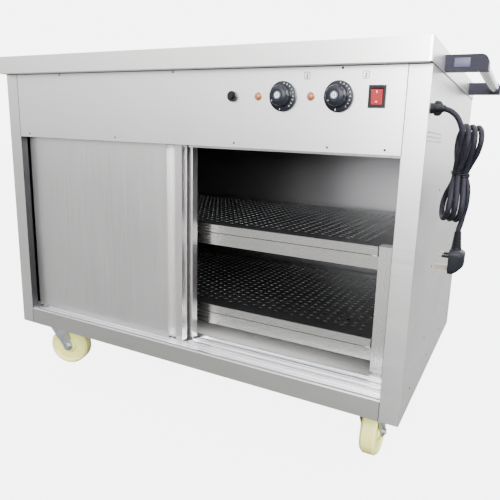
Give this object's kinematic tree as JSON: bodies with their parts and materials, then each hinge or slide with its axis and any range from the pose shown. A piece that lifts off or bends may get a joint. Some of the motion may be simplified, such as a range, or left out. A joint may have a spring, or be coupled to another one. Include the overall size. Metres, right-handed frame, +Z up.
{
  "type": "mobile hot cupboard",
  "caption": "Wheeled stainless steel hot cupboard with sliding doors, inner rack, control panel, push handle and mains cord.",
  "frame": {"origin": "on the ground, below the middle of the cart's box, handle included and cord left out", "axes": "+Z up, +X towards the end with the push handle, -Y towards the side with the doors and controls"},
  "size_m": [1.0916, 0.628, 0.78],
  "materials": {
    "worktop_steel": "fine brushed",
    "side_steel": "fine brushed",
    "fascia_steel": "fine brushed",
    "rail_steel": "fine brushed",
    "door_steel": "fine brushed",
    "liner_steel": "dull",
    "inner_steel": "dull",
    "rack_steel": "fine brushed",
    "shelf_steel": "perforated, dull",
    "track_aluminium": "mill finish extrusion",
    "heater_sheath": "heat stained",
    "thermostat_metal": "plated",
    "lamp_lens": "clear tinted",
    "control_plastic": "moulded",
    "button_plastic": "moulded",
    "rocker_plastic": "clear tinted",
    "terminal_plastic": "moulded",
    "knob_plastic": "moulded",
    "gland_nylon": "moulded",
    "cord_rubber": "matte sheath",
    "plug_plastic": "moulded",
    "plug_brass": "plated",
    "bracket_plastic": "moulded",
    "handle_steel": "polished",
    "castor_zinc": "zinc plated",
    "wheel_nylon": "moulded nylon"
  },
  "bodies": {
    "cabinet": {"worktop": "worktop_steel", "top_ribs": "inner_steel", "side_panel_left": "side_steel", "side_panel_right": "side_steel", "back_panel": "side_steel", "base_pan": "side_steel", "cabinet_floor": "inner_steel", "front_fascia": "fascia_steel", "cabinet_roof": "inner_steel", "bottom_rail": "rail_steel", "track_top": "track_aluminium", "track_bottom": "track_aluminium", "shelf_upper": "shelf_steel", "shelf_lower": "shelf_steel", "heater_top": "heater_sheath", "heater_bottom": "heater_sheath", "thermostats": "thermostat_metal", "lamp_top": "lamp_lens", "lamp_bottom": "lamp_lens", "reset_cutout": "control_plastic", "switch_bezel": "control_plastic", "terminal_block": "terminal_plastic", "cable_gland": "gland_nylon", "cord_lead": "cord_rubber", "cord_hank": "cord_rubber", "cord_tail": "cord_rubber", "plug_body": "plug_plastic", "plug_pins": "plug_brass", "handle_bracket_front": "bracket_plastic", "handle_bracket_back": "bracket_plastic", "handle_tube": "handle_steel", "rack_legs": "rack_steel", "rail_upper_front": "rack_steel", "rail_upper_back": "rack_steel", "rail_lower_front": "rack_steel", "rail_lower_back": "rack_steel", "castor_plate_front_left": "castor_zinc", "castor_plate_front_right": "castor_zinc", "castor_plate_back_left": "castor_zinc", "castor_plate_back_right": "castor_zinc"},
    "door_front": {"door_front_leaf": "door_steel", "door_front_pull": "door_steel", "door_front_stile": "door_steel", "door_front_liner": "liner_steel"},
    "door_rear": {"door_rear_leaf": "door_steel", "door_rear_pull": "door_steel", "door_rear_stile": "door_steel", "door_rear_liner": "liner_steel"},
    "knob_top": {"knob_top": "knob_plastic"},
    "knob_bottom": {"knob_bottom": "knob_plastic"},
    "switch_rocker": {"switch_rocker": "rocker_plastic"},
    "reset_button": {"reset_button": "button_plastic"},
    "castor_swivel_front_left": {"castor_fork_front_left": "castor_zinc"},
    "castor_wheel_front_left": {"castor_wheel_front_left": "wheel_nylon"},
    "castor_swivel_front_right": {"castor_fork_front_right": "castor_zinc"},
    "castor_wheel_front_right": {"castor_wheel_front_right": "wheel_nylon"},
    "castor_swivel_back_left": {"castor_fork_back_left": "castor_zinc"},
    "castor_wheel_back_left": {"castor_wheel_back_left": "wheel_nylon"},
    "castor_swivel_back_right": {"castor_fork_back_right": "castor_zinc"},
    "castor_wheel_back_right": {"castor_wheel_back_right": "wheel_nylon"}
  },
  "joints": [
    {"name": "door_front_slide", "type": "slide", "parent": "cabinet", "child": "door_front", "axis": [1, 0, 0], "range_m": [0, 0.455]},
    {"name": "door_rear_slide", "type": "slide", "parent": "cabinet", "child": "door_rear", "axis": [1, 0, 0], "range_m": [-0.008, 0.446]},
    {"name": "knob_top_turn", "type": "hinge", "parent": "cabinet", "child": "knob_top", "pos_m": [0.21, -0.298, 0.693], "axis": [0, 1, 0], "range_deg": [0, 270]},
    {"name": "knob_bottom_turn", "type": "hinge", "parent": "cabinet", "child": "knob_bottom", "pos_m": [0.315, -0.298, 0.693], "axis": [0, 1, 0], "range_deg": [0, 270]},
    {"name": "switch_rocker_tilt", "type": "hinge", "parent": "cabinet", "child": "switch_rocker", "pos_m": [0.381, -0.285, 0.693], "axis": [1, 0, 0], "range_deg": [-14, 0]},
    {"name": "reset_button_press", "type": "slide", "parent": "cabinet", "child": "reset_button", "axis": [0, 1, 0], "range_m": [0, 0.003], "stiffness_N_per_m": 500},
    {"name": "castor_swivel_front_left_turn", "type": "hinge", "parent": "cabinet", "child": "castor_swivel_front_left", "pos_m": [-0.47, -0.23, 0.115], "axis": [0, 0, 1], "continuous": true},
    {"name": "castor_wheel_front_left_turn", "type": "hinge", "parent": "castor_swivel_front_left", "child": "castor_wheel_front_left", "pos_m": [-0.44181, -0.21974, 0.05], "axis": [-0.342, 0.9397, 0], "continuous": true},
    {"name": "castor_swivel_front_right_turn", "type": "hinge", "parent": "cabinet", "child": "castor_swivel_front_right", "pos_m": [0.4, -0.23, 0.115], "axis": [0, 0, 1], "continuous": true},
    {"name": "castor_wheel_front_right_turn", "type": "hinge", "parent": "castor_swivel_front_right", "child": "castor_wheel_front_right", "pos_m": [0.4, -0.2, 0.05], "axis": [-1, 0, 0], "continuous": true},
    {"name": "castor_swivel_back_left_turn", "type": "hinge", "parent": "cabinet", "child": "castor_swivel_back_left", "pos_m": [-0.47, 0.254, 0.115], "axis": [0, 0, 1], "continuous": true},
    {"name": "castor_wheel_back_left_turn", "type": "hinge", "parent": "castor_swivel_back_left", "child": "castor_wheel_back_left", "pos_m": [-0.45974, 0.22581, 0.05], "axis": [0.9397, 0.342, 0], "continuous": true},
    {"name": "castor_swivel_back_right_turn", "type": "hinge", "parent": "cabinet", "child": "castor_swivel_back_right", "pos_m": [0.4, 0.254, 0.115], "axis": [0, 0, 1], "continuous": true},
    {"name": "castor_wheel_back_right_turn", "type": "hinge", "parent": "castor_swivel_back_right", "child": "castor_wheel_back_right", "pos_m": [0.38974, 0.22581, 0.05], "axis": [0.9397, -0.342, 0], "continuous": true}
  ]
}
